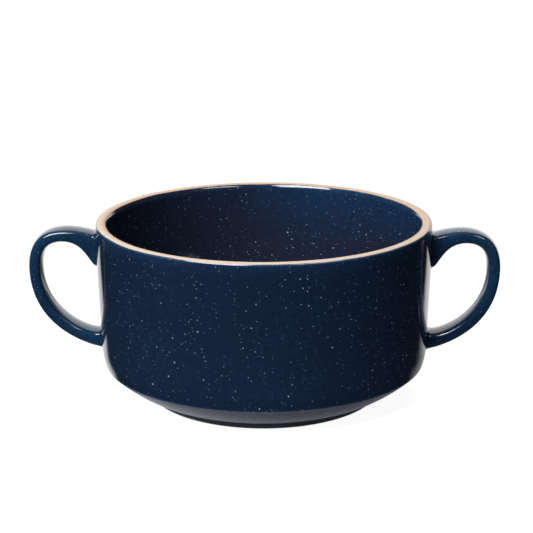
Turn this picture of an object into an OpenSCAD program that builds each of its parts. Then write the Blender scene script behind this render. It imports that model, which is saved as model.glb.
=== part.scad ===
// Two-handled stoneware soup mug with a speckled glaze, a bare clay rim and a sharp ridge above its foot.
// The origin is at the centre of the foot's lower face. +Z is up, and the two handles lie along X.

/* [Bowl] */
// Height from the table to the top of the lip
mug_h = 69.4; // [60:0.2:85]
// Outside diameter that the wall has at the lip, before the lip's own rounding
rim_d = 130.4; // [110:0.2:150]
// Outside diameter that the straight wall has at the height of the ridge
wall_low_d = 128; // [110:0.2:150]
// How far the wall draws in again towards the lip
rim_in = 0.65; // [0:0.05:2]
// Height over which the wall draws in below the lip
rim_turn = 20; // [8:1:30]
// Thickness of the wall with the glaze on both faces
wall_t = 4.6; // [3.8:0.05:6]

/* [Lip] */
// Height of the soft crown of the bare lip
lip_crown = 0.3; // [0.2:0.05:0.8]
// How far the outside of the lip rounds in
lip_out = 0.55; // [0.2:0.05:0.8]
// Height over which the outside of the lip rounds in
lip_out_h = 1.4; // [1:0.1:2.5]
// How far the inside of the lip rounds back
lip_in = 1.1; // [0.3:0.05:1.4]
// Height over which the inside of the lip rounds back
lip_in_h = 2.6; // [1.4:0.1:4]

/* [Ridge and underside] */
// Height of the sharp ridge above the table
ridge_z = 13.1; // [10:0.1:18]
// How far the ridge lies inside the line of the wall
ridge_in = 1.0; // [0.3:0.05:2.5]
// Height over which the wall rounds in above the ridge
ridge_turn = 7; // [3:0.5:12]
// Depth of the small undercut below the ridge
ridge_lip = 0.6; // [0.2:0.05:1.2]
// How far the underside bulges beyond a straight cone
underside_bulge = 0.8; // [0:0.05:1.5]

/* [Foot] */
// Outside diameter of the foot ring
foot_d = 91.5; // [76:0.5:100]
// Height of the foot ring's outer wall
foot_h = 1.6; // [1.4:0.1:3]
// Width of the foot ring
foot_w = 5.6; // [3.5:0.1:9]
// Rounding of the foot ring's lower edges
foot_round = 0.45; // [0.3:0.05:0.5]
// Height of bare clay at the bottom of the foot ring
foot_bare_h = 0.55; // [0.55:0.05:1.2]
// Depth of the recess inside the foot ring
recess_h = 2.2; // [2:0.1:4]
// Rounding where the recess meets the foot ring
recess_cove = 0.7; // [0.3:0.05:0.75]

/* [Inside] */
// Thickness of the floor with the glaze on both faces
floor_t = 4.2; // [3.4:0.1:7]
// How far the inner corner's curve reaches in from the wall
corner_w = 23; // [16:0.5:30]
// How high the inner corner's curve rises above the floor
corner_h = 17; // [12:0.5:24]

/* [Glaze] */
// Thickness of the glaze
glaze_t = 0.35; // [0.2:0.01:0.5]
// Thickness of the glaze where it ends
glaze_edge_t = 0.12; // [0.06:0.01:0.18]
// Distance over which the glaze thins towards an edge
glaze_fade = 3; // [1:0.1:4]

/* [Handles] */
// How far a handle stands out from the outside of the wall at the lip
handle_reach = 26.9; // [22:0.1:36]
// Depth of the upper arm's middle below the lip's top, where it meets its slip
upper_drop = 7.9; // [7.5:0.1:12]
// Height of the lower arm's middle above the ridge, where it meets its slip
lower_rise = 6.9; // [5.5:0.1:10]
// Width of the strap
strap_w = 10; // [8:0.1:14]
// Thickness of the strap in the middle of its width
strap_t = 4.6; // [3.4:0.1:5.5]
// How far the strap's two broad faces are crowned
strap_crown = 0.45; // [0.1:0.05:0.6]
// Rounding of the strap's long edges
strap_edge = 1.4; // [0.8:0.1:1.8]
// How much thicker the lower arm is than the upper arm
lower_swell = 0.4; // [0:0.1:1]
// How far the upper arm flares down at the wall
upper_flare = 7.9; // [3:0.1:9]
// Distance over which the upper arm's flare falls to about a third
upper_flare_l = 3.4; // [2:0.1:5]
// How far the lower arm flares up at the wall
lower_flare = 1.4; // [0.5:0.1:4]
// Distance over which the lower arm's flare falls to about a third
lower_flare_l = 3.6; // [2:0.1:5]
// Thickness of the slip in a joint, which is also the radius of its fillet
slip_t = 1.8; // [1:0.1:2.2]

/* [Hidden] */

clay_colour = [0.87, 0.77, 0.69];
slip_colour = [0.78, 0.68, 0.60];
glaze_colour = [0.09, 0.15, 0.26];

// Radii and heights of the bowl that follow from its sizes
rim_r = rim_d / 2;
wall_low_r = wall_low_d / 2;
ridge_r = wall_low_r - ridge_in;
foot_r = foot_d / 2;
foot_in_r = foot_r - foot_w;
floor_z = recess_h + floor_t;
lip_edge_z = mug_h - lip_crown;
wall_slope = (rim_r + rim_in - wall_low_r) / (mug_h - ridge_z);
corner_top_z = floor_z + corner_h;
corner_in_r = inner_r(corner_top_z) - corner_w;

// Step counts of the curved outlines
wall_steps = 30;
inner_steps = 24;
corner_steps = 14;
underside_steps = 12;
lip_steps = 12;
lip_round_steps = 8;
round_steps = 4;
turn_facets = 180;
lip_power = 2.5;

// The curve of a handle's middle line: its roots, its outermost point, and its pulls as shares of its size
upper_z = mug_h - upper_drop;
lower_z = ridge_z + lower_rise;
upper_root = [clay_r(upper_z) + slip_t, upper_z];
lower_root = [clay_r(lower_z) + slip_t, lower_z];
handle_rise = upper_z - lower_z;
brow_height_share = 0.72;
brow = [rim_r + handle_reach - strap_t / 2, lower_z + handle_rise * brow_height_share];
upper_angle = 16;
lower_angle = 17;
upper_pull_share = 0.44;
lower_pull_share = 0.41;
brow_up_share = 0.38;
brow_down_share = 0.47;
root_turn_share = 0.35;
edge_limit_share = 0.9;
arm_steps = 20;
fillet_steps = 4;
edge_points = 4;
face_points = 3;
cap_shares = [0.67, 0.33];
// A hair's breadth that keeps the flat facets of a joint out of the round wall
seat_gap = 0.01;
cut_from_share = 0.5;
cut_to_share = 1.2;

// What is left, as a square, of a fade over a length l after a distance d
function fade(d, l) = pow(max(0, 1 - max(0, d) / l), 2);

// What is left of a flare after a distance d, where it falls to about a third over each length l
function flare_left(d, l) = exp(-max(0, d) / l);

// Outside radius of the wall at height z, before the lip's rounding
function wall_line(z) = wall_low_r + wall_slope * (z - ridge_z)
    - ridge_in * fade(z - ridge_z, ridge_turn) - rim_in * fade(mug_h - z, rim_turn);

// Outside and inside radius of the glazed wall at height z
function wall_r(z) = wall_line(z) - lip_out * fade(mug_h - z, lip_out_h);
function inner_r(z) = wall_line(z) - wall_t + lip_in * fade(mug_h - z, lip_in_h);

// Thickness of the glaze at height z: it thins towards the lip and towards the foot
function glaze_at(z) = glaze_t - (glaze_t - glaze_edge_t)
    * min(1, fade(lip_edge_z - z, glaze_fade) + fade(z - foot_bare_h, glaze_fade));

// Outside radius of the clay wall at height z
function clay_r(z) = wall_r(z) - glaze_at(z);

// The direction to the right of an outline at its point i
function right_of(path, i) =
    let (d = path[min(i + 1, len(path) - 1)] - path[max(i - 1, 0)])
    [d[1], -d[0]] / norm(d);

// The outline moved by the glaze's thickness, to its right for a side of 1 and to its left for -1
function under_glaze(path, side) =
    [for (i = [0:len(path) - 1]) path[i] + right_of(path, i) * glaze_at(path[i][1]) * side];

function backwards(list) = [for (i = [len(list) - 1:-1:0]) list[i]];

// A quarter circle about a centre, from one angle to another
function arc(centre, r, from, to) =
    [for (i = [0:round_steps]) let (a = from + (to - from) * i / round_steps) centre + r * [cos(a), sin(a)]];

// Heights from the lip down to just above an end: close together over a first height h, where the lip rounds
function heights_down(h, end, steps) =
    let (low = lip_edge_z - h)
    [
        for (i = [0:lip_round_steps - 1]) lip_edge_z - h * i / lip_round_steps,
        for (i = [0:steps - 1]) low - (low - end) * i / steps
    ];

// Outside of the wall, from the lip down to just above the ridge, on the glaze and on the clay
wall_heights = heights_down(lip_out_h, ridge_z, wall_steps);
wall_path = [for (z = wall_heights) [wall_r(z), z]];
clay_wall_path = [for (z = wall_heights) [clay_r(z), z]];

// From the ridge along the bulging underside to the line where the foot's bare clay begins
under_from = [ridge_r - ridge_lip, ridge_z - ridge_lip];
under_to = [foot_r, foot_h];
under_out = [under_from[1] - under_to[1], under_to[0] - under_from[0]] / norm(under_to - under_from);
under_path = [
    [ridge_r, ridge_z],
    for (i = [0:underside_steps])
        let (s = i / underside_steps)
        under_from * (1 - s) + under_to * s + under_out * underside_bulge * 4 * s * (1 - s),
    [foot_r, foot_bare_h]
];
clay_under_path = under_glaze(under_path, 1);

// Inside of the bowl, from the lip down the wall, round the corner and along the floor
inner_path = [
    for (z = heights_down(lip_in_h, corner_top_z, inner_steps)) [inner_r(z), z],
    for (i = [0:corner_steps])
        let (a = 90 * i / corner_steps)
        [corner_in_r + corner_w * cos(a), corner_top_z - corner_h * sin(a)],
    [0, floor_z]
];
clay_inner_path = under_glaze(inner_path, -1);

// The bare lip, from the inner glaze over its crown to the outer glaze, without its two ends
lip_from = clay_inner_path[0][0];
lip_to = clay_wall_path[0][0];
lip_path = [
    for (i = [1:lip_steps - 1])
        let (s = i / lip_steps)
        [lip_from * (1 - s) + lip_to * s, mug_h - lip_crown * pow(abs(2 * s - 1), lip_power)]
];

// The bare bottom of the foot ring, between the outer glaze and the recess's glaze
foot_out_r = foot_r - glaze_edge_t - foot_round;
foot_inside_r = foot_in_r + glaze_edge_t + foot_round;
foot_path = concat(
    arc([foot_out_r, foot_round], foot_round, 0, -90),
    arc([foot_inside_r, foot_round], foot_round, -90, -180));

// The recess inside the foot ring, up its side and across to the centre
recess_path = concat(
    [[foot_in_r, foot_bare_h]],
    arc([foot_in_r - recess_cove, recess_h - recess_cove], recess_cove, 0, 90),
    [[0, recess_h]]);
clay_recess_path = under_glaze(recess_path, 1);

// A point at y and z that lies h outside the clay wall of the bowl, on the side of +X
function on_wall(y, z, h) = [sqrt(pow(clay_r(z), 2) - y * y) + h + seat_gap, y, z];

// Section of the strap as places along its width and its thickness, made larger all round by grow.
// Its broad faces are crowned, and lean by an angle where they run into the rounding of its edges.
function strap_outline(half_t, grow) =
    let (
        edge = min(strap_edge, (half_t - strap_crown) * edge_limit_share),
        w = strap_w / 2 - edge,
        lean = atan(2 * strap_crown / w),
        t = half_t - strap_crown - edge * cos(lean),
        face = w + edge * sin(lean),
        across = [for (i = [1:face_points]) face - 2 * face * i / (face_points + 1)],
        top = [for (y = across) [y, half_t + grow - strap_crown * pow(y / face, 2)]],
        turns = [for (i = [0:edge_points - 1]) (90 - lean) * i / (edge_points - 1)],
        r = edge + grow
    )
    [
        for (a = turns) [w + r * cos(a), t + r * sin(a)],
        for (p = top) p,
        for (a = turns) [-w - r * sin(a + lean), t + r * cos(a + lean)],
        for (a = turns) [-w - r * cos(a), -t - r * sin(a)],
        for (p = top) -p,
        for (a = turns) [w + r * sin(a + lean), -t - r * cos(a + lean)]
    ];

// Point and direction of a cubic curve with four control points
function curve_point(p, s) =
    p[0] * pow(1 - s, 3) + p[1] * 3 * pow(1 - s, 2) * s + p[2] * 3 * (1 - s) * s * s + p[3] * pow(s, 3);
function curve_way(p, s) =
    let (d = (p[1] - p[0]) * pow(1 - s, 2) + (p[2] - p[1]) * 2 * (1 - s) * s + (p[3] - p[2]) * s * s)
    d / norm(d);

// The two halves of the middle line, which meet at the outermost point
reach = brow[0] - upper_root[0];
upper_curve = [
    upper_root,
    upper_root + reach * upper_pull_share * [cos(upper_angle), sin(upper_angle)],
    brow + [0, handle_rise * brow_up_share],
    brow
];
lower_curve = [
    brow,
    brow - [0, handle_rise * brow_down_share],
    lower_root + reach * lower_pull_share * [cos(lower_angle), sin(lower_angle)],
    lower_root
];

// One station of the strap: its middle, its outward direction and half its thickness.
// What makes it thicker there, a flare or a swell, lies on its inner side.
function station(curve, s, root, up, flare, flare_l, swell) =
    let (
        c = curve_point(curve, s),
        way = curve_way(curve, s),
        turn = fade(norm(c - root) / handle_rise, root_turn_share),
        mix = [-way[1], way[0]] * (1 - turn) + [0, up] * turn,
        out = mix / norm(mix),
        extra = flare * flare_left(c[0] - root[0], flare_l) + swell * pow(sin(90 * s), 2)
    )
    [c - out * extra / 2, out, (strap_t + extra) / 2];
stations = [
    for (i = [0:arm_steps - 1])
        station(upper_curve, i / arm_steps, upper_root, 1, upper_flare, upper_flare_l, 0),
    for (i = [0:arm_steps])
        station(lower_curve, i / arm_steps, lower_root, -1, lower_flare, lower_flare_l, lower_swell)
];
upper_end = stations[0];
lower_end = stations[len(stations) - 1];

// Ring of points round the strap at a station
function ring(s, grow) =
    [for (p = strap_outline(s[2], grow)) [s[0][0] + s[1][0] * p[1], p[0], s[0][1] + s[1][1] * p[1]]];

// Ring of points at an end station, h outside the wall, scaled towards its middle by a share
function end_ring(s, grow, h, share) =
    [for (p = strap_outline(s[2], grow)) on_wall(p[0] * share, s[0][1] + s[1][1] * p[1] * share, h)];

// Rings of a joint's fillet at an end station, from the wall up to the strap, under a coat
function fillet(s, coat) =
    [for (i = [0:fillet_steps])
        let (a = 90 - 90 * i / fillet_steps, r = slip_t - coat)
        end_ring(s, slip_t - r * cos(a), slip_t - r * sin(a), 1)];

// Rings of the whole strap, whose two ends follow the wall
function strap_rings(grow) = [
    end_ring(upper_end, grow, slip_t, 1),
    for (i = [1:len(stations) - 2]) ring(stations[i], grow),
    end_ring(lower_end, grow, slip_t, 1)
];

// Side faces between a ring and the next one, where a ring has n points
function band(i, j, n) =
    [for (k = [0:n - 1]) [i * n + k, i * n + (k + 1) % n, j * n + (k + 1) % n, j * n + k]];

// A closed solid through rings, with a point in the middle of each end
module loft(rings, from, to) {
    n = len(rings[0]);
    m = len(rings);
    polyhedron(
        points = [for (r = rings) each r, from, to],
        faces = [
            for (i = [0:m - 2]) each band(i, i + 1, n),
            for (k = [0:n - 1]) [m * n, (k + 1) % n, k],
            for (k = [0:n - 1]) [m * n + 1, (m - 1) * n + k, (m - 1) * n + (k + 1) % n]
        ],
        convexity = 8);
}

// A tube with a wall: its outer rings forwards and its inner rings backwards, closed at both ends
module sleeve(outer, inner) {
    rings = concat(outer, backwards(inner));
    n = len(rings[0]);
    m = len(rings);
    polyhedron(
        points = [for (r = rings) each r],
        faces = [for (i = [0:m - 1]) each band(i, (i + 1) % m, n)],
        convexity = 8);
}

// The clay strap, which ends on the slip of its two joints
module strap() {
    color(clay_colour)
        loft(
            concat(
                [for (c = backwards(cap_shares)) end_ring(upper_end, 0, slip_t, c)],
                strap_rings(0),
                [for (c = cap_shares) end_ring(lower_end, 0, slip_t, c)]),
            on_wall(0, upper_end[0][1], slip_t),
            on_wall(0, lower_end[0][1], slip_t));
}

// The glaze over a strap and over the fillets of its two joints
module strap_glaze() {
    color(glaze_colour)
        sleeve(
            concat(fillet(upper_end, glaze_t), strap_rings(glaze_t), backwards(fillet(lower_end, glaze_t))),
            concat(fillet(upper_end, 0), strap_rings(0), backwards(fillet(lower_end, 0))));
}

// The slip that holds one end of a strap to the wall, with its fillet
module slip(s) {
    color(slip_colour)
        loft(
            concat(
                [for (c = backwards(cap_shares)) end_ring(s, slip_t, 0, c)],
                fillet(s, 0),
                [for (c = cap_shares) end_ring(s, 0, slip_t, c)]),
            on_wall(0, s[0][1], 0),
            on_wall(0, s[0][1], slip_t));
}

// The opening that a joint leaves in the wall's glaze
module joint_cut(s) {
    translate([rim_r * cut_from_share, 0, 0])
        rotate([90, 0, 90])
            linear_extrude(rim_r * (cut_to_share - cut_from_share))
                polygon([for (p = strap_outline(s[2], slip_t)) [p[0], s[0][1] + s[1][1] * p[1]]]);
}

// What belongs to the left side is the right side's turned half way round
module on_left() {
    rotate([0, 0, 180])
        children();
}

module turned(path) {
    rotate_extrude($fn = turn_facets)
        polygon(path);
}

module bowl_body() {
    color(clay_colour)
        turned(concat(
            backwards(clay_inner_path), lip_path, clay_wall_path,
            clay_under_path, foot_path, clay_recess_path));
}

module inner_glaze() {
    color(glaze_colour)
        turned(concat(inner_path, backwards(clay_inner_path)));
}

module outer_glaze() {
    color(glaze_colour)
        difference() {
            turned(concat(
                wall_path, under_path, backwards(clay_under_path), backwards(clay_wall_path)));
            joint_cut(upper_end);
            joint_cut(lower_end);
            on_left() {
                joint_cut(upper_end);
                joint_cut(lower_end);
            }
        }
}

module base_glaze() {
    color(glaze_colour)
        turned(concat(recess_path, backwards(clay_recess_path)));
}

module left_handle() { on_left() strap(); }
module right_handle() { strap(); }
module left_handle_glaze() { on_left() strap_glaze(); }
module right_handle_glaze() { strap_glaze(); }
module left_upper_slip() { on_left() slip(upper_end); }
module left_lower_slip() { on_left() slip(lower_end); }
module right_upper_slip() { slip(upper_end); }
module right_lower_slip() { slip(lower_end); }

bowl_body();
inner_glaze();
outer_glaze();
base_glaze();
left_handle();
right_handle();
left_handle_glaze();
right_handle_glaze();
left_upper_slip();
left_lower_slip();
right_upper_slip();
right_lower_slip();
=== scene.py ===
"""A soup mug with two strap handles, in dark speckled glaze over pale clay, built around its solids."""
import math

import bmesh
import bpy
from mathutils import Matrix, Vector, noise


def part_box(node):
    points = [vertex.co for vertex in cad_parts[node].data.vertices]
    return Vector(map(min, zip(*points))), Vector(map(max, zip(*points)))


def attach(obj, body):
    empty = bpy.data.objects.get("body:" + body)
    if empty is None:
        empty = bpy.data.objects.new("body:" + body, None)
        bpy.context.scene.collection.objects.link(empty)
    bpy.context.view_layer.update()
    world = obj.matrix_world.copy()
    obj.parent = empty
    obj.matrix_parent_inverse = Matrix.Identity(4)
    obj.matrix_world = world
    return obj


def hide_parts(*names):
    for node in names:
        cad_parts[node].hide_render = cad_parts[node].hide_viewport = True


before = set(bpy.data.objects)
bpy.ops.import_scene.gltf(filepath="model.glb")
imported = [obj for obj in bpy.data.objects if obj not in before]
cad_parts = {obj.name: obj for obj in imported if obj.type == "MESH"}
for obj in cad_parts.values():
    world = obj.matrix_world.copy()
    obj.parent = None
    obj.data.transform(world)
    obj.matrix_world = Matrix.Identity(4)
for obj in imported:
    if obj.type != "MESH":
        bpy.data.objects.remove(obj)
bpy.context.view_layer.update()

MM = 0.001
FULL_TURN = 2 * math.pi
BODY = "root"

# How finely the turned pieces are made
SEGMENTS = 256
RING_STEP = 1.8 * MM
FINE_STEP = 0.36 * MM
DISC_STEP = 4 * MM
WELD = 0.002 * MM
TIE_DIGITS = 6

# An outline that turns by more than this at a point has a bend or a corner there
BEND_TURN = math.radians(4)
CORNER_TURN = math.radians(25)

# How far a corner is eased at most, in length and as a share of the run beside it
CORNER_EASE = 0.16 * MM
EASE_SHARE = 0.3
EASE_STEPS = 4

# The most of one step that is cut off, so that no two points meet
CUT_MOST = 0.999

# A coat's edge at the lip is within this of its top
EDGE_BAND = 0.02 * MM

# How that edge wanders: how far, with how much of the coat beside it, and in waves of what scale
GLAZE_WAVE = 0.16 * MM
WAVE_REACH = 0.8 * MM
WAVE_LEAST = 0.01
WAVE_SCALE = 60.0
WAVE_FINE_SCALE = 240.0
WAVE_FINE_SHARE = 0.4

# The attribute that holds how thin a coat is at a point, or how warm the clay is there; on the inside coat
# it also holds painted light, lighter towards the top
THIN = "thin"


# Meshes and objects

def add_object(name, data):
    made = bpy.data.objects.new(name, data)
    bpy.context.scene.collection.objects.link(made)
    return made


def smooth_mesh(mesh, thin):
    """Shades a mesh smooth, and stores the values of its attribute."""
    mesh.polygons.foreach_set("use_smooth", [True] * len(mesh.polygons))
    mesh.attributes.new(THIN, "FLOAT", "POINT").data.foreach_set("value", thin)


def dress(piece, material):
    """Gives the piece one material in place of all that it has."""
    piece.data.materials.clear()
    piece.data.materials.append(material)


# Outlines of the turned pieces

def folded_outline(node):
    """A turned node's outline, as (radius, height) points in order, and whether it closes on itself."""
    bm = bmesh.new()
    bm.from_mesh(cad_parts[node].data)
    aside = [v for v in bm.verts if abs(v.co.x) > abs(v.co.y) / 2 and v.co.xy.length > WELD]
    bmesh.ops.delete(bm, geom=aside, context="VERTS")
    for v in bm.verts:
        v.co = (v.co.xy.length, 0, v.co.z)
    bmesh.ops.remove_doubles(bm, verts=bm.verts, dist=WELD)
    beside = {v: {e.other_vert(v) for e in v.link_edges} for v in bm.verts}
    ends = [v for v in bm.verts if len(beside[v]) == 1]
    here = max(ends or bm.verts, key=lambda v: (round(v.co.z, TIE_DIGITS), v.co.x))
    chain = [here]
    while True:
        onward = [v for v in beside[chain[-1]] if v not in chain]
        if not onward:
            break
        chain.append(max(onward, key=lambda v: (round(v.co.x, TIE_DIGITS), v.co.z)))
    points = [Vector((v.co.x, v.co.z)) for v in chain]
    bm.free()
    return points, not ends


def turn_at(before, point, after):
    """The angle by which an outline turns at a point."""
    return (point - before).angle(after - point, 0.0)


def split_at_corners(points, closed):
    """The outline's smooth runs, from corner to corner."""
    count = len(points)
    inner = range(count) if closed else range(1, count - 1)
    corners = [i for i in inner if turn_at(points[i - 1], points[i], points[(i + 1) % count]) > CORNER_TURN]
    if closed:
        first = corners[0] if corners else 0
        points = points[first:] + points[:first + 1]
        corners = [i - first for i in corners[1:]]
    stops = [0] + corners + [len(points) - 1]
    return [points[a:b + 1] for a, b in zip(stops, stops[1:])]


def smooth_run(run):
    """The run with more points, on a curve through the ones that it has."""
    if len(run) < 3:
        steps = max(1, math.ceil((run[1] - run[0]).length / RING_STEP))
        return [run[0].lerp(run[1], i / steps) for i in range(steps + 1)]
    padded = [2 * run[0] - run[1]] + run + [2 * run[-1] - run[-2]]
    out = [run[0]]
    for a, b, c, d in zip(padded, padded[1:], padded[2:], padded[3:]):
        length = (c - b).length
        bends = max(turn_at(a, b, c), turn_at(b, c, d)) > BEND_TURN
        steps = max(1, math.ceil(length / (FINE_STEP if bends else RING_STEP)))
        start = (c - a) * (length / max((c - b).length + (b - a).length, WELD))
        end = (d - b) * (length / max((d - c).length + (c - b).length, WELD))
        for i in range(1, steps + 1):
            t = i / steps
            t2 = t * t
            t3 = t2 * t
            out.append((2 * t3 - 3 * t2 + 1) * b + (t3 - 2 * t2 + t) * start
                       + (3 * t2 - 2 * t3) * c + (t3 - t2) * end)
    return out


def cut_back(run, length):
    """The run without its last stretch of that length."""
    run = list(run)
    while len(run) > 2 and (run[-1] - run[-2]).length < length:
        length -= (run[-1] - run[-2]).length
        run.pop()
    step = run[-2] - run[-1]
    run[-1] = run[-1] + step * min(1.0, length / step.length) * CUT_MOST
    return run


def fine_outline(node):
    """A turned node's outline with smooth runs and eased corners, and the corners where they were."""
    points, closed = folded_outline(node)
    runs = split_at_corners(points, closed)
    corners = [run[0] for run in runs[(0 if closed else 1):]]
    runs = [smooth_run(run) for run in runs]
    pairs = list(zip(runs, runs[1:] + ([runs[0]] if closed else [])))
    spans = [min((a[0] - a[-1]).length, (b[0] - b[-1]).length) for a, b in pairs]
    trims = [min(CORNER_EASE, EASE_SHARE * span) for span in spans]
    out = []
    for i, run in enumerate(runs):
        corner = run[-1]
        if i > 0 or closed:
            run = cut_back(run[::-1], trims[i - 1])[::-1]
        if i >= len(pairs):
            out += run
            continue
        run = cut_back(run, trims[i])
        after = cut_back(pairs[i][1][::-1], trims[i])[-1]
        out += run
        for k in range(1, EASE_STEPS):
            t = k / EASE_STEPS
            out.append((1 - t) ** 2 * run[-1] + 2 * t * (1 - t) * corner + t * t * after)
    return [Vector((p.x, max(0.0, p.y))) for p in out], closed, corners


def edge_at_lip(node, outward):
    """The point of a coat's outline where it ends at the lip, on its outward or inward side."""
    points = folded_outline(node)[0]
    top = max(p.y for p in points)
    return (max if outward else min)([p for p in points if p.y > top - EDGE_BAND], key=lambda p: p.x)


# Turning an outline into a mesh

def to_axis(point):
    """Points from the edge of a flat disc in to its centre, the centre left out."""
    steps = max(1, round(point.x / DISC_STEP))
    return [Vector((point.x * (steps - i) / steps, point.y)) for i in range(1, steps)]


def ring_faces(first, second):
    """The faces between two rings of points, each given by the number of its first point."""
    onward = [(k + 1) % SEGMENTS for k in range(SEGMENTS)]
    return [(first + k, first + after, second + after, second + k) for k, after in enumerate(onward)]


def disc_faces(first, centre):
    """The faces between a ring of points and the point at its centre."""
    return [(first + k, first + (k + 1) % SEGMENTS, centre) for k in range(SEGMENTS)]


def lathe(name, outline, closed, wear_and_shading=None, edge=None, onward=None):
    """A smooth turned mesh. An open outline is closed by a flat disc at each end.

    The fourth argument gives, for a point, how thin the glaze is there, and on the inside coat also painted
    light that grows towards the top.
    Near the point edge, the coat's end wanders onward and back.
    """
    if not closed:
        outline = to_axis(outline[0])[::-1] + list(outline) + to_axis(outline[-1])
    verts = []
    thin = []
    for point in outline:
        pull = math.exp(-((point - edge).length / WAVE_REACH) ** 2) if edge else 0.0
        wear_and_shading_here = wear_and_shading(point) if wear_and_shading else 0.0
        for k in range(SEGMENTS):
            angle = FULL_TURN * k / SEGMENTS
            out = Vector((math.cos(angle), math.sin(angle), 0))
            spot = out * point.x + Vector((0, 0, point.y))
            if pull > WAVE_LEAST:
                wander = noise.noise(spot * WAVE_SCALE)
                wander += WAVE_FINE_SHARE * noise.noise(spot * WAVE_FINE_SCALE)
                spot += (out * onward.x + Vector((0, 0, onward.y))) * (GLAZE_WAVE * wander * pull)
            verts.append(spot)
            thin.append(wear_and_shading_here)
    rows = len(outline)
    faces = []
    for row in range(rows if closed else rows - 1):
        faces += ring_faces(row * SEGMENTS, (row + 1) % rows * SEGMENTS)
    if not closed:
        for row, z in ((0, outline[0].y), (rows - 1, outline[-1].y)):
            faces += disc_faces(row * SEGMENTS, len(verts))
            verts.append(Vector((0, 0, z)))
            thin.append(thin[row * SEGMENTS])
    mesh = bpy.data.meshes.new(name)
    mesh.from_pydata(verts, [], faces)
    bm = bmesh.new()
    bm.from_mesh(mesh)
    bmesh.ops.recalc_face_normals(bm, faces=bm.faces)
    bm.to_mesh(mesh)
    bm.free()
    smooth_mesh(mesh, thin)
    return add_object(name, mesh)


# Node graphs

class Graph:
    """A short way to write a node tree."""

    def __init__(self, tree):
        self.tree = tree
        tree.nodes.clear()

    def feed(self, node, key, value):
        """Links a socket to a node's input, or sets the input's own value."""
        if isinstance(value, bpy.types.NodeSocket):
            self.tree.links.new(value, node.inputs[key])
        else:
            node.inputs[key].default_value = value

    def add(self, kind, inputs=None, **settings):
        node = self.tree.nodes.new(kind)
        for key, value in settings.items():
            setattr(node, key, value)
        for key, value in (inputs or {}).items():
            self.feed(node, key, value)
        return node

    def math(self, operation, a, b=0.0, c=0.0, clamp=False):
        inputs = {0: a, 1: b, 2: c}
        return self.add("ShaderNodeMath", inputs, operation=operation, use_clamp=clamp).outputs[0]

    def times(self, a, b, clamp=False):
        return self.math("MULTIPLY", a, b, clamp=clamp)

    def minus(self, a, b):
        return self.math("SUBTRACT", a, b)

    def largest(self, a, b):
        return self.math("MAXIMUM", a, b)

    def scaled(self, value, by, plus, clamp=False):
        """The value times by, with plus added."""
        return self.math("MULTIPLY_ADD", value, by, plus, clamp)

    def swayed(self, value, pattern, amount, clamp=False):
        """The value, moved up and down by a pattern that runs from 0 to 1."""
        return self.scaled(self.minus(pattern, 0.5), amount, value, clamp)

    def step(self, value, low, high, to_low=0.0, to_high=1.0):
        """A soft step, from to_low where the value is low, to to_high where it is high."""
        inputs = {"Value": value, "From Min": low, "From Max": high, "To Min": to_low, "To Max": to_high}
        return self.add("ShaderNodeMapRange", inputs, interpolation_type="SMOOTHSTEP").outputs["Result"]

    def mix(self, share, a, b, blend="MIX"):
        """A mix of two colours. The node's factor is its input 0, and its colours are 6 and 7."""
        node = self.add("ShaderNodeMix", data_type="RGBA", blend_type=blend)
        for index, value in ((0, share), (6, a), (7, b)):
            self.feed(node, index, (*value, 1.0) if isinstance(value, tuple) else value)
        return node.outputs[2]

    def grey(self, value):
        return self.add("ShaderNodeCombineColor", {0: value, 1: value, 2: value}).outputs[0]

    def ramp(self, value, stops):
        node = self.add("ShaderNodeValToRGB", {"Fac": value})
        bar = node.color_ramp.elements
        for _ in range(len(stops) - 2):
            bar.new(0.5)
        for element, (position, colour) in zip(bar, stops):
            element.position = position
            element.color = (*colour, 1.0)
        return node.outputs["Color"]

    def place(self, kind="Object"):
        return self.add("ShaderNodeTexCoord").outputs[kind]

    def axes(self, vector):
        return self.add("ShaderNodeSeparateXYZ", {"Vector": vector}).outputs

    def vector(self, operation, a, b=(0, 0, 0), result="Vector"):
        return self.add("ShaderNodeVectorMath", {0: a, 1: b}, operation=operation).outputs[result]

    def attribute(self, name):
        return self.add("ShaderNodeAttribute", attribute_name=name).outputs["Fac"]

    def noise(self, place, scale, detail=2.0, roughness=0.5):
        inputs = {"Vector": place, "Scale": scale, "Detail": detail, "Roughness": roughness}
        return self.add("ShaderNodeTexNoise", inputs).outputs["Fac"]

    def scatter(self, place, cell):
        """A point in each cell: the distance to the nearest, in cells, and that point's random numbers."""
        cells = self.add("ShaderNodeTexVoronoi", {"Vector": place, "Scale": 1 / cell, "Randomness": 1.0})
        dice = self.add("ShaderNodeSeparateColor", {"Color": cells.outputs["Color"]})
        return cells.outputs["Distance"], dice.outputs

    def bump(self, height, depth):
        inputs = {"Height": height, "Strength": 1.0, "Distance": depth}
        return self.add("ShaderNodeBump", inputs).outputs["Normal"]


def new_material(name):
    """A material with an empty node tree, and its graph."""
    material = bpy.data.materials.new(name)
    material.use_nodes = True
    return material, Graph(material.node_tree)


# Colours, as linear red, green and blue

NAVY_THICK = (0.0095, 0.0225, 0.0560)
NAVY = (0.0115, 0.0370, 0.0950)
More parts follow.
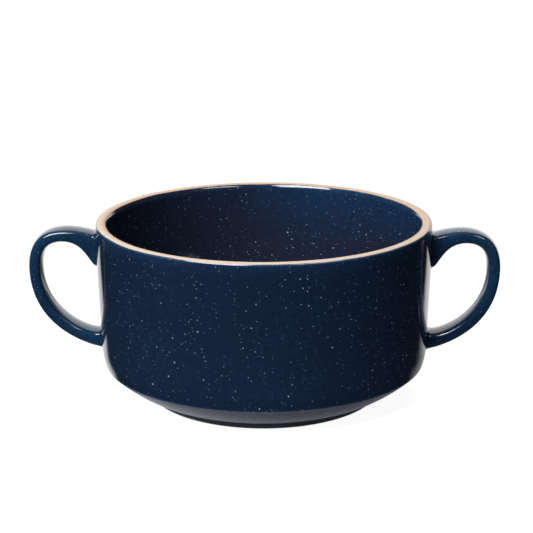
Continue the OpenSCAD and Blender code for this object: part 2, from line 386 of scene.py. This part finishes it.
# The inside's glaze where thickest, greyer; it is also the colour that the inside's painted shade towards
# -x darkens to
NAVY_INSIDE_THICK_AND_SHADE = (0.0190, 0.0265, 0.0540)
NAVY_INSIDE = (0.0130, 0.0435, 0.1150)
NAVY_HANDLE_THICK = (0.0085, 0.0320, 0.0760)
NAVY_HANDLE = (0.0125, 0.0700, 0.1700)
STEEL_BLUE = (0.060, 0.135, 0.220)
OCHRE = (0.150, 0.098, 0.076)
SPECK_PALE = (0.76, 0.95, 1.00)
SPECK_SLATE = (0.34, 0.55, 0.86)
CLAY = (0.935, 0.800, 0.685)
CLAY_DEEP = (0.840, 0.670, 0.540)
CLAY_WARM = (0.930, 0.570, 0.330)
CLAY_GRAIN = (0.350, 0.210, 0.130)
WHITE = (1.0, 1.0, 1.0)

# In what follows, a pattern of noise is its scale, its detail and sometimes its roughness.
# A step is where it begins and where it ends, and sometimes its values there, which are else 0 and 1.

# Specks: the size of the cells that hold them, their largest radius, the share of the cells that hold one,
# and their strength
SPECK_LAYERS = (
    (2.2 * MM, 0.30 * MM, 0.40, 1.00),
    (1.5 * MM, 0.20 * MM, 0.58, 1.00),
    (1.1 * MM, 0.15 * MM, 0.74, 0.95),
)
LAYER_SHIFT = Vector((0.31, 0.17, 0.23))

# The smallest speck beside the largest, a speck's solid core beside its whole, and the faintest speck
SPECK_SMALLEST = 0.45
SPECK_CORE = 0.76
SPECK_FAINTEST = 0.30
SPECK_FAINT_POWER = 1.5

# How the share of the cells that hold a speck drifts from place to place
DRIFT_PATTERN = (55.0, 2.0)
DRIFT_STEP = (0.30, 0.70)
DRIFT_SPAN = 0.60
DRIFT_LEAST = 0.55


def specks(g, place):
    """How much a speck covers the surface at each place, and the speck's colour."""
    drift = g.step(g.noise(place, *DRIFT_PATTERN), *DRIFT_STEP)
    crowding = g.scaled(drift, DRIFT_SPAN, DRIFT_LEAST)
    covers = []
    tones = []
    for i, (cell, radius, filled, strength) in enumerate(SPECK_LAYERS):
        distance, dice = g.scatter(g.vector("ADD", place, LAYER_SHIFT * i), cell)
        size = g.step(dice[0], 0.0, 1.0, SPECK_SMALLEST * radius / cell, radius / cell)
        dot = g.step(distance, size, g.times(size, SPECK_CORE))
        kept = g.math("LESS_THAN", dice[1], g.times(crowding, filled))
        faint = g.math("POWER", dice[2], SPECK_FAINT_POWER)
        faint = g.scaled(faint, (1 - SPECK_FAINTEST) * strength, SPECK_FAINTEST * strength)
        covers.append(g.times(g.times(dot, kept), faint))
        tones.append(dice[0])
    cover = covers[0]
    for other in covers[1:]:
        cover = g.largest(cover, other)
    return cover, g.mix(tones[0], SPECK_SLATE, SPECK_PALE)


# Glaze: the patterns that make it thicker and thinner, how thin it is at each colour, and its shades
CLOUD_PATTERN = (38.0, 4.0, 0.55)
CLOUD_SWAY = 0.30
GRAIN_PATTERN = (620.0, 3.0, 0.6)
GRAIN_SWAY = 0.22
NAVY_AT = 0.28
STEEL_AT = 0.66
SHADE_LEAST = 0.75
SHADE_SPAN = 0.50

# Painted shade: a coat can be darkened towards its thick colour on its side towards -x, where less light
# falls, as a step of x
LEFT_SHADE_STEP = (35 * MM, -45 * MM)

# Its roughness, and the height of its surface, in which its orange peel counts as 1
GLAZE_ROUGHNESS = 0.055
SMEAR_PATTERN = (140.0, 3.0)
SMEAR_ROUGHNESS = 0.05
SPECK_ROUGHNESS = 0.12
PEEL_PATTERN = (170.0, 2.0)
PEEL_DEPTH = 0.035 * MM
FINE_PEEL_PATTERN = (900.0, 2.0)
FINE_PEEL_HEIGHT = 0.10
SPECK_HEIGHT = 0.12
GLAZE_IOR = 1.55


def glaze_material(name, thick, navy, speckled=1.0, peel_depth=PEEL_DEPTH, left_shade=0.0):
    """Glossy navy glaze: mottled, speckled, bluer where it is thin and brown where it breaks over an edge.

    The last argument is how much painted shade darkens it towards its thick colour on its side towards -x.
    """
    material, g = new_material(name)
    place = g.place()
    grain = g.noise(place, *GRAIN_PATTERN)
    wear_and_shading = g.swayed(g.attribute(THIN), grain, GRAIN_SWAY)
    # Painted shade: darker, towards the thick colour, on the side towards -x
    if left_shade:
        wear_and_shading = g.minus(wear_and_shading, g.step(g.axes(place)[0], *LEFT_SHADE_STEP, 0.0, left_shade))
    wear_and_shading = g.swayed(wear_and_shading, g.noise(place, *CLOUD_PATTERN), CLOUD_SWAY, clamp=True)
    colour = g.ramp(wear_and_shading, ((0.0, thick), (NAVY_AT, navy), (STEEL_AT, STEEL_BLUE), (1.0, OCHRE)))
    colour = g.mix(1.0, colour, g.grey(g.scaled(grain, SHADE_SPAN, SHADE_LEAST)), "MULTIPLY")
    cover, speck_colour = specks(g, place)
    if speckled != 1.0:
        cover = g.times(cover, speckled, clamp=True)
    colour = g.mix(cover, colour, speck_colour)
    roughness = g.scaled(g.noise(place, *SMEAR_PATTERN), SMEAR_ROUGHNESS, GLAZE_ROUGHNESS)
    roughness = g.scaled(cover, SPECK_ROUGHNESS, roughness)
    peel = g.scaled(g.noise(place, *FINE_PEEL_PATTERN), FINE_PEEL_HEIGHT, g.noise(place, *PEEL_PATTERN))
    peel = g.scaled(cover, SPECK_HEIGHT, peel)
    look = {"Base Color": colour, "Roughness": roughness, "IOR": GLAZE_IOR,
            "Normal": g.bump(peel, peel_depth)}
    shader = g.add("ShaderNodeBsdfPrincipled", look)
    g.add("ShaderNodeOutputMaterial", {"Surface": shader.outputs[0]})
    return material


# Clay: its broad clouds, its sand and its single dark grains
CLAY_CLOUD_PATTERN = (60.0, 4.0, 0.6)
CLAY_CLOUD_STEP = (0.30, 0.72)
CLAY_CLOUD_SHARE = 0.28
SAND_PATTERN = (2600.0, 3.0, 0.65)
SAND_STEP = (0.52, 0.74, 0.0, 0.30)
GRAIN_CELL = 1.1 * MM
GRAIN_EDGE = (0.13, 0.07)
GRAIN_CHANCE = (0.35, 0.95, 0.0, 0.75)

# Its roughness and the height of its surface, in which the sand counts as 1
CLAY_ROUGHNESS = 0.62
SAND_ROUGHNESS = 0.20
LUMP_PATTERN = (420.0, 3.0)
LUMP_HEIGHT = 1.2
CLAY_DEPTH = 0.05 * MM
CLAY_IOR = 1.5
CLAY_SPECULAR = 0.3


def clay_material(name, base, deep):
    """Bare fired clay: matte and sandy, with fine darker grains, and warmer in tone beside the glaze."""
    material, g = new_material(name)
    place = g.place()
    cloud = g.step(g.noise(place, *CLAY_CLOUD_PATTERN), *CLAY_CLOUD_STEP)
    sand = g.noise(place, *SAND_PATTERN)
    colour = g.mix(g.times(cloud, CLAY_CLOUD_SHARE), base, deep)
    colour = g.mix(g.step(sand, *SAND_STEP), colour, deep)
    distance, dice = g.scatter(place, GRAIN_CELL)
    dot = g.times(g.step(distance, *GRAIN_EDGE), g.step(dice[0], *GRAIN_CHANCE))
    colour = g.mix(dot, colour, CLAY_GRAIN)
    colour = g.mix(g.attribute(THIN), colour, CLAY_WARM)
    roughness = g.scaled(sand, SAND_ROUGHNESS, CLAY_ROUGHNESS)
    height = g.scaled(g.noise(place, *LUMP_PATTERN), LUMP_HEIGHT, sand)
    look = {"Base Color": colour, "Roughness": roughness, "IOR": CLAY_IOR,
            "Specular IOR Level": CLAY_SPECULAR, "Normal": g.bump(height, CLAY_DEPTH)}
    shader = g.add("ShaderNodeBsdfPrincipled", look)
    g.add("ShaderNodeOutputMaterial", {"Surface": shader.outputs[0]})
    return material


INSIDE_SPECKLED = 1.3
# How much painted shade darkens the inside on its side towards -x
INSIDE_LEFT_SHADE = 0.22
HANDLE_SPECKLED = 0.8
HANDLE_PEEL = 0.015 * MM

glaze = glaze_material("navy_glaze_outside", NAVY_THICK, NAVY)
inside_glaze = glaze_material("navy_glaze_inside", NAVY_INSIDE_THICK_AND_SHADE, NAVY_INSIDE,
                              speckled=INSIDE_SPECKLED, left_shade=INSIDE_LEFT_SHADE)
handle_glaze = glaze_material("navy_glaze_handle", NAVY_HANDLE_THICK, NAVY_HANDLE,
                              speckled=HANDLE_SPECKLED, peel_depth=HANDLE_PEEL)
bare_clay = clay_material("bare_clay_fine", CLAY, CLAY_DEEP)
slip_clay = clay_material("joint_slip_fine", CLAY_DEEP, CLAY_GRAIN)


# The turned pieces

CLAY_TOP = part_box("bowl_body")[1].z

# A corner this close to the top or to the table is the lip's or the foot's, and any other is the ridge's
LIP_BAND = 6 * MM
FOOT_BAND = 5 * MM
LIP_EDGE_OUT = edge_at_lip("outer_glaze", outward=False)
LIP_EDGE_IN = edge_at_lip("inner_glaze", outward=True)

# The way in which each coat's edge wanders over the lip, as (radius, height)
ONWARD_OUT = Vector((-0.5, 0.86))
ONWARD_IN = Vector((0.5, 0.86))

# How thin the glaze is at an edge, and over what reach that dies away
LIP_WEAR = ((0.66, 0.75 * MM), (0.24, 3 * MM))
RIDGE_WEAR = ((1.20, 0.40 * MM), (0.22, 0.9 * MM))
FOOT_WEAR = ((0.34, 0.5 * MM),)
# On the inside, the first fade is the glaze thinning at the lip's edge, and the long second fade is painted
# light: lighter and bluer near the top, where more light falls in
INNER_LIP_WEAR_AND_LIGHT = ((0.60, 0.6 * MM), (0.26, 18 * MM))

# The same for how warm the clay is
WARM_INSIDE = ((0.86, 1.5 * MM),)
WARM_OUTSIDE = ((0.34, 0.5 * MM),)


def nearness(corners, fades):
    """A measure that dies away from the corners, as the strongest of its fades does."""
    def measure(point):
        gaps = [(point - corner).length for corner in corners]
        return max([amount * math.exp(-(gap / reach) ** 2) for amount, reach in fades for gap in gaps],
                   default=0.0)
    return measure


def strongest(*measures):
    return lambda point: max(measure(point) for measure in measures)


def outer_wear(corners):
    ridge = [c for c in corners if FOOT_BAND < c.y < CLAY_TOP - LIP_BAND]
    foot = [c for c in corners if c.y < FOOT_BAND]
    return strongest(nearness([LIP_EDGE_OUT], LIP_WEAR), nearness(ridge, RIDGE_WEAR),
                     nearness(foot, FOOT_WEAR))


# Thin glaze at the lip's edge, with painted light fading down from the top
def inner_wear_and_light(corners):
    return nearness([LIP_EDGE_IN], INNER_LIP_WEAR_AND_LIGHT)


def clay_warmth(corners):
    return strongest(nearness([LIP_EDGE_IN], WARM_INSIDE), nearness([LIP_EDGE_OUT], WARM_OUTSIDE))


def make_piece(name, node, material, wear_and_shading=None, edge=None, onward=None):
    outline, closed, corners = fine_outline(node)
    piece = lathe(name, outline, closed, wear_and_shading(corners) if wear_and_shading else None, edge, onward)
    dress(piece, material)
    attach(piece, BODY)
    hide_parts(node)


make_piece("bowl_clay", "bowl_body", bare_clay, clay_warmth)
make_piece("outer_glaze_coat", "outer_glaze", glaze, outer_wear, LIP_EDGE_OUT, ONWARD_OUT)
make_piece("inner_glaze_coat", "inner_glaze", inside_glaze, inner_wear_and_light,
           LIP_EDGE_IN, ONWARD_IN)
make_piece("base_glaze_coat", "base_glaze", glaze)


# The handles' coats

# The glaze on a handle is thinnest where the handle bulges to this radius or less
THIN_BEND = 1.5 * MM
HANDLE_THINNEST = 0.35

# The least angle at an edge that stays sharp, and the most, in radians, at which two triangles are joined
CREASE_TURN = math.radians(50)
JOIN_TURN = 1.2
HANDLE_LEVELS = 2


def bend_of(vert):
    """How strongly the mesh bulges at a vertex, as one over the radius."""
    around = [e.other_vert(vert).co for e in vert.link_edges]
    middle = sum(around, Vector()) / len(around)
    spread = sum((p - vert.co).length_squared for p in around) / len(around)
    return 2 * (vert.co - middle).dot(vert.normal) / spread


def handle_coat(name, node):
    """The handle's coat of glaze, as a subdivided mesh over the solid's own points."""
    mesh = bpy.data.meshes.new(name)
    bm = bmesh.new()
    bm.from_mesh(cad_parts[node].data)
    bmesh.ops.remove_doubles(bm, verts=bm.verts, dist=WELD)
    bmesh.ops.join_triangles(bm, faces=bm.faces, angle_face_threshold=JOIN_TURN,
                             angle_shape_threshold=JOIN_TURN, topology_influence=1.0)
    bmesh.ops.recalc_face_normals(bm, faces=bm.faces)
    bm.normal_update()
    thin = [HANDLE_THINNEST * min(1.0, max(0.0, bend_of(v) * THIN_BEND)) for v in bm.verts]
    sharp = bm.edges.layers.float.new("crease_edge")
    for edge in bm.edges:
        if edge.is_manifold and edge.calc_face_angle() > CREASE_TURN:
            edge[sharp] = 1.0
    bm.to_mesh(mesh)
    bm.free()
    smooth_mesh(mesh, thin)
    piece = add_object(name, mesh)
    finer = piece.modifiers.new("finer", "SUBSURF")
    finer.levels = HANDLE_LEVELS
    finer.render_levels = HANDLE_LEVELS
    dress(piece, handle_glaze)
    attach(piece, BODY)
    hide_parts(node)


for side in ("left", "right"):
    handle_coat(f"{side}_handle_coat", f"{side}_handle_glaze")
    dress(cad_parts[f"{side}_handle"], bare_clay)
    for end in ("upper", "lower"):
        dress(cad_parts[f"{side}_{end}_slip"], slip_clay)


# The camera, as fitted to the photograph

PHOTO_SIDE = 533
PHOTO_FOCUS = 1516.65
AIM_LEFT = -2.4
AIM_DOWN = 36.4
CAMERA_ELEVATION = math.radians(17.3)
CAMERA_ROLL = math.radians(-0.16)
CAMERA_TURN = math.radians(1.55)
CAMERA_REACH = 600 * MM
CAMERA_TARGET = Vector((0, 0, 35 * MM))
CAMERA_CLIP = 10 * MM
SENSOR = 36.0


def make_camera():
    back = Vector((0, -math.cos(CAMERA_ELEVATION), math.sin(CAMERA_ELEVATION)))
    right = Vector((1, 0, 0))
    axes = Matrix((right, back.cross(right), back)).transposed()
    aim = (Matrix.Rotation(math.atan2(AIM_LEFT, PHOTO_FOCUS), 3, "Y")
           @ Matrix.Rotation(math.atan2(AIM_DOWN, PHOTO_FOCUS), 3, "X")
           @ Matrix.Rotation(CAMERA_ROLL, 3, "Z"))
    turn = Matrix.Rotation(CAMERA_TURN, 3, "Z")
    data = bpy.data.cameras.new("camera")
    data.sensor_width = SENSOR
    data.lens = PHOTO_FOCUS * SENSOR / PHOTO_SIDE
    data.clip_start = CAMERA_CLIP
    camera = add_object("camera", data)
    camera.matrix_world = Matrix.LocRotScale(
        turn @ (CAMERA_TARGET + back * CAMERA_REACH), (turn @ axes @ aim).to_quaternion(), None)
    bpy.context.scene.camera = camera


make_camera()


# The studio's lamps

# Each lamp: its azimuth and elevation in degrees, its distance, width and height in metres, its watts,
# and how much light a face drawn in the room adds to its reflection, or None where it has no reflection
LAMPS = {
    "key": (-34, 43, 1.6, 1.06, 0.60, 24.5, 6.0),
    "fill": (40, 41, 1.4, 0.66, 0.22, 0.10, 10.0),
    "top": (0, 84, 1.3, 0.90, 0.90, 1.0, 0.0),
    "back": (172, 44, 1.6, 1.30, 0.80, 6.0, None),
}


def way_to(azimuth, elevation):
    """The direction from the mug to a lamp. Azimuth 0 is the camera's side, and it grows to the right."""
    azimuth = math.radians(azimuth)
    elevation = math.radians(elevation)
    return Vector((math.sin(azimuth) * math.cos(elevation), -math.cos(azimuth) * math.cos(elevation),
                   math.sin(elevation)))


def softbox(name, azimuth, elevation, reach, width, height, power, mirrored):
    """A soft lamp that looks at the mug, and shows in reflections only where mirrored is true."""
    data = bpy.data.lights.new(name, "AREA")
    data.shape = "RECTANGLE"
    data.size = width
    data.size_y = height
    data.energy = power
    lamp = add_object(name, data)
    out = way_to(azimuth, elevation)
    lamp.location = CAMERA_TARGET + out * reach
    lamp.rotation_mode = "QUATERNION"
    lamp.rotation_quaternion = out.to_track_quat("Z", "Y")
    lamp.visible_camera = False
    lamp.visible_glossy = mirrored


for lamp_name, (*lamp_place, lamp_watts, lamp_shine) in LAMPS.items():
    softbox(lamp_name, *lamp_place, lamp_watts, lamp_shine is not None)


# The room: white to the camera, dim as a light, and dark in reflections but for what is drawn there

AMBIENT = 0.009
DARK = 0.045
LEAST = 0.001

# The pale sweep behind the mug: its light, its half width and its soft sides, and how high it reaches
SWEEP_LIGHT = 1.55
SWEEP_HALF_WIDTH = math.radians(31)
SWEEP_SOFT = math.radians(5)
SWEEP_SIDES = (math.cos(SWEEP_HALF_WIDTH + SWEEP_SOFT), math.cos(SWEEP_HALF_WIDTH - SWEEP_SOFT))
SWEEP_TOP = (math.sin(math.radians(58)), math.sin(math.radians(44)))

# Where a lamp's drawn face begins and ends, as shares of its half width and of its half height
FACE_ENDS_ACROSS = (1.20, 0.50)
FACE_ENDS_UP = (1.10, 0.80)


def lamp_face(g, azimuth, elevation, reach, width, height):
    """Where a lamp's drawn face lies in the room, from 0 to 1."""
    out = way_to(azimuth, elevation)
    across = Vector((-out.y, out.x, 0)).normalized()
    place = g.place("Generated")
    ahead, aside, above = [g.vector("DOT_PRODUCT", place, axis, "Value")
                           for axis in (out, across, out.cross(across))]
    face = g.math("GREATER_THAN", ahead, 0.0)
    ahead = g.largest(ahead, LEAST)
    for off, size, ends in ((aside, width, FACE_ENDS_ACROSS), (above, height, FACE_ENDS_UP)):
        half = size / reach / 2
        off = g.math("ABSOLUTE", g.math("DIVIDE", off, ahead))
        face = g.times(face, g.step(off, *(half * end for end in ends)))
    return face


def make_world():
    world = bpy.data.worlds.new("room")
    bpy.context.scene.world = world
    world.use_nodes = True
    g = Graph(world.node_tree)
    ray = g.add("ShaderNodeLightPath").outputs
    glossy = ray["Is Glossy Ray"]
    x, y, z = g.axes(g.place("Generated"))
    level = g.math("SQRT", g.scaled(x, x, g.times(y, y)))
    behind = g.math("DIVIDE", y, g.largest(level, LEAST))
    sweep = g.step(behind, *SWEEP_SIDES, DARK, SWEEP_LIGHT)
    sweep = g.largest(g.times(sweep, g.step(z, *SWEEP_TOP)), DARK)
    seen = g.times(glossy, sweep)
    for *place, _, shine in LAMPS.values():
        if shine:
            seen = g.scaled(g.times(glossy, lamp_face(g, *place)), shine, seen)
    dim = g.times(g.minus(1.0, glossy), AMBIENT)
    light = g.largest(ray["Is Camera Ray"], g.math("ADD", seen, dim))
    light = g.largest(ray["Is Transmission Ray"], light)
    shader = g.add("ShaderNodeBackground", {"Color": (*WHITE, 1.0), "Strength": light})
    g.add("ShaderNodeOutputWorld", {"Surface": shader.outputs[0]})


make_world()


# The floor: white to the camera, pale around the mug, and dark in reflections but for what is drawn there

FLOOR_SIDE = 6.0
FLOOR_DROP = 0.02 * MM
FLOOR_DARK = 0.012

# Steps of the distance from the mug's middle: the light given to the camera, and how pale the floor is
FLOOR_SHADE_R = 240 * MM
FLOOR_GLOW = (FLOOR_SHADE_R, 480 * MM, 0.94, 1.0)
FLOOR_PALENESS = (70 * MM, FLOOR_SHADE_R, 0.70, 0.09)

# The band that the wall mirrors: how wide it is at the mug's middle, and how much wider further back,
# its soft edge as a step of x, and where it begins, as a step of y
BAND_HALF_WIDTH = 80 * MM
BAND_SLOPE = 0.6
BAND_SOFT = (-40 * MM, 40 * MM, 7 * MM, 13 * MM)
BAND_START = (-14 * MM, -2 * MM)

# Its light, which falls towards the right in a step of x, to what a step of y gives
BAND_LIGHT = 1.15
BAND_RIGHT = (-20 * MM, 60 * MM)
BAND_RIGHT_LIGHT = (0.0, 100 * MM, 0.36, 1.05)

# What is left of it in its middle, as a step of the distance to either side, and where that begins
MIDDLE_ACROSS = (12 * MM, 60 * MM, 0.22, 1.0)
MIDDLE_START = (50 * MM, 90 * MM)

# The ring around the foot that the underside mirrors: its two edges, its light as a step of x, its tint
RING_R = 62 * MM
RING_SOFT = 4 * MM
RING_OUTSIDE = (RING_R + RING_SOFT, RING_R - RING_SOFT)
RING_FOOT_R = 44.5 * MM
RING_FOOT_SOFT = 2.4 * MM
RING_INSIDE = (RING_FOOT_R, RING_FOOT_R + RING_FOOT_SOFT)
RING_LIGHT = (-45 * MM, 45 * MM, 0.44, 0.17)
RING_TINT = (0.96, 1.0, 1.12)


def mirrored_band(g, x, y):
    """The light of the pale band that the mug's wall mirrors in the floor."""
    side = g.math("ABSOLUTE", x)
    inside = g.minus(g.scaled(y, BAND_SLOPE, BAND_HALF_WIDTH), side)
    band = g.step(g.math("DIVIDE", inside, g.step(x, *BAND_SOFT)), -1.0, 1.0)
    band = g.times(band, g.step(y, *BAND_START))
    fall = g.times(g.minus(BAND_LIGHT, g.step(y, *BAND_RIGHT_LIGHT)), g.step(x, *BAND_RIGHT))
    middle = g.times(g.minus(1.0, g.step(side, *MIDDLE_ACROSS)), g.step(y, *MIDDLE_START))
    return g.times(g.times(band, g.minus(1.0, middle)), g.minus(BAND_LIGHT, fall))


def floor_material():
    """A floor that shows only from above, since the mug is looked at from below too."""
    material, g = new_material("pale_floor")
    ray = g.add("ShaderNodeLightPath").outputs
    glossy = ray["Is Glossy Ray"]
    place = g.place()
    x, y, _ = g.axes(place)
    reach = g.vector("LENGTH", place, result="Value")
    ring = g.step(reach, *RING_OUTSIDE)
    tint = g.mix(g.times(ring, glossy), WHITE, RING_TINT)
    ring = g.times(g.times(ring, g.step(x, *RING_LIGHT)), g.step(reach, *RING_INSIDE))
    seen = g.largest(g.largest(mirrored_band(g, x, y), ring), FLOOR_DARK)
    strength = g.scaled(glossy, seen, g.times(ray["Is Camera Ray"], g.step(reach, *FLOOR_GLOW)))
    pale = g.times(g.minus(1.0, glossy), g.step(reach, *FLOOR_PALENESS))
    matte = g.add("ShaderNodeBsdfDiffuse", {"Color": g.grey(pale)})
    light = g.add("ShaderNodeEmission", {"Color": tint, "Strength": strength})
    above = g.add("ShaderNodeAddShader", {0: matte.outputs[0], 1: light.outputs[0]})
    below = g.add("ShaderNodeBsdfTransparent")
    from_below = g.add("ShaderNodeNewGeometry").outputs["Backfacing"]
    both = g.add("ShaderNodeMixShader", {0: from_below, 1: above.outputs[0], 2: below.outputs[0]})
    g.add("ShaderNodeOutputMaterial", {"Surface": both.outputs[0]})
    return material


def make_floor():
    mesh = bpy.data.meshes.new("floor")
    half = FLOOR_SIDE / 2
    corners = [(-half, -half), (half, -half), (half, half), (-half, half)]
    mesh.from_pydata([(*corner, -FLOOR_DROP) for corner in corners], [], [(0, 1, 2, 3)])
    floor = add_object("floor", mesh)
    dress(floor, floor_material())


make_floor()

scene = bpy.context.scene
scene.view_settings.view_transform = "Standard"
